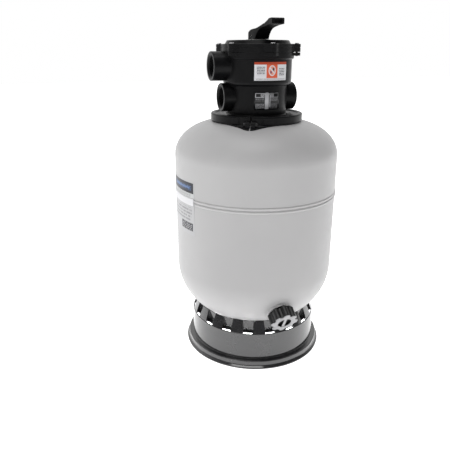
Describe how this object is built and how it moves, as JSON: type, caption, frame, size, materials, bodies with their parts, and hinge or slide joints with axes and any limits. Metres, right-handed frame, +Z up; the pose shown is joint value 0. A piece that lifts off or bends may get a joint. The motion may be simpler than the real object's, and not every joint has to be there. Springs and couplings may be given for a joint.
{
  "type": "sand filter tank",
  "caption": "Top-mount pool sand filter tank on a round stand, with a clamped multiport valve, lever handle, threaded ports and a lower drain cap.",
  "frame": {"origin": "on the tank's axis, at the floor under the base stand", "axes": "+Z up; the valve ports lie along X, the single lower port on +X; the drain and the lever point to -Y"},
  "size_m": [0.4101, 0.4345, 0.8275],
  "materials": {
    "tank_plastic": "satin moulded, slightly rippled",
    "stand_black": "glossy moulded",
    "valve_black": "satin moulded",
    "stainless": "bright",
    "dark_steel": "black coated",
    "seal_rubber": "matte",
    "pipe_plastic": "matte",
    "label_film": "printed film"
  },
  "bodies": {
    "root": {"base_stand": "stand_black", "clamp_bolts": "dark_steel", "clamp_half_left": "valve_black", "clamp_half_right": "valve_black", "clamp_nuts": "dark_steel", "cover_nuts": "stainless", "cover_o_ring": "seal_rubber", "cover_screws": "stainless", "drain_body_gasket": "seal_rubber", "drain_fitting": "valve_black", "drain_nut": "valve_black", "drain_screen": "pipe_plastic", "gauge_plug": "valve_black", "handle_washer": "pipe_plastic", "lateral_1": "pipe_plastic", "lateral_2": "pipe_plastic", "lateral_3": "pipe_plastic", "lateral_4": "pipe_plastic", "lateral_5": "pipe_plastic", "lateral_6": "pipe_plastic", "lateral_7": "pipe_plastic", "lateral_8": "pipe_plastic", "lateral_hub": "pipe_plastic", "rotor_gasket": "seal_rubber", "standpipe": "pipe_plastic", "tank_label": "label_film", "tank_o_ring": "seal_rubber", "tank_shell": "tank_plastic", "top_diffuser": "pipe_plastic", "valve_body": "valve_black", "valve_cover": "valve_black", "valve_label": "label_film"},
    "lift": {"spring_washer": "pipe_plastic", "valve_spring": "stainless"},
    "turn": {"rotor": "valve_black", "shaft_o_rings": "seal_rubber", "handle_pin": "stainless"},
    "lever": {"handle": "valve_black"},
    "drain_travel_body": {"drain_gasket": "seal_rubber"},
    "drain_turn_body": {"drain_cap": "valve_black"}
  },
  "joints": [
    {"name": "rotor_lift", "type": "slide", "parent": "root", "child": "lift", "axis": [0, 0, 1], "range_m": [0, 0.0066], "deforming": ["valve_spring"]},
    {"name": "rotor_spin", "type": "hinge", "parent": "lift", "child": "turn", "pos_m": [0, 0, 0.7], "axis": [0, 0, 1], "continuous": true},
    {"name": "handle_press", "type": "hinge", "parent": "turn", "child": "lever", "pos_m": [0, 0, 0.794], "axis": [1, 0, 0], "range_deg": [0, 15], "stiffness_Nm_per_rad": 3},
    {"name": "drain_cap_travel", "type": "slide", "parent": "root", "child": "drain_travel_body", "axis": [0, -0.866, -0.5], "range_m": [0, 0.01205]},
    {"name": "drain_cap_spin", "type": "hinge", "parent": "drain_travel_body", "child": "drain_turn_body", "pos_m": [0, -0.201, 0.151], "axis": [0, -0.866, -0.5], "range_deg": [0, 1080]}
  ],
  "couplings": [
    {"joint": "rotor_lift", "follows": "handle_press", "m_per_rad": 0.025},
    {"joint": "drain_cap_travel", "follows": "drain_cap_spin", "m_per_rad": 0.00063662}
  ]
}
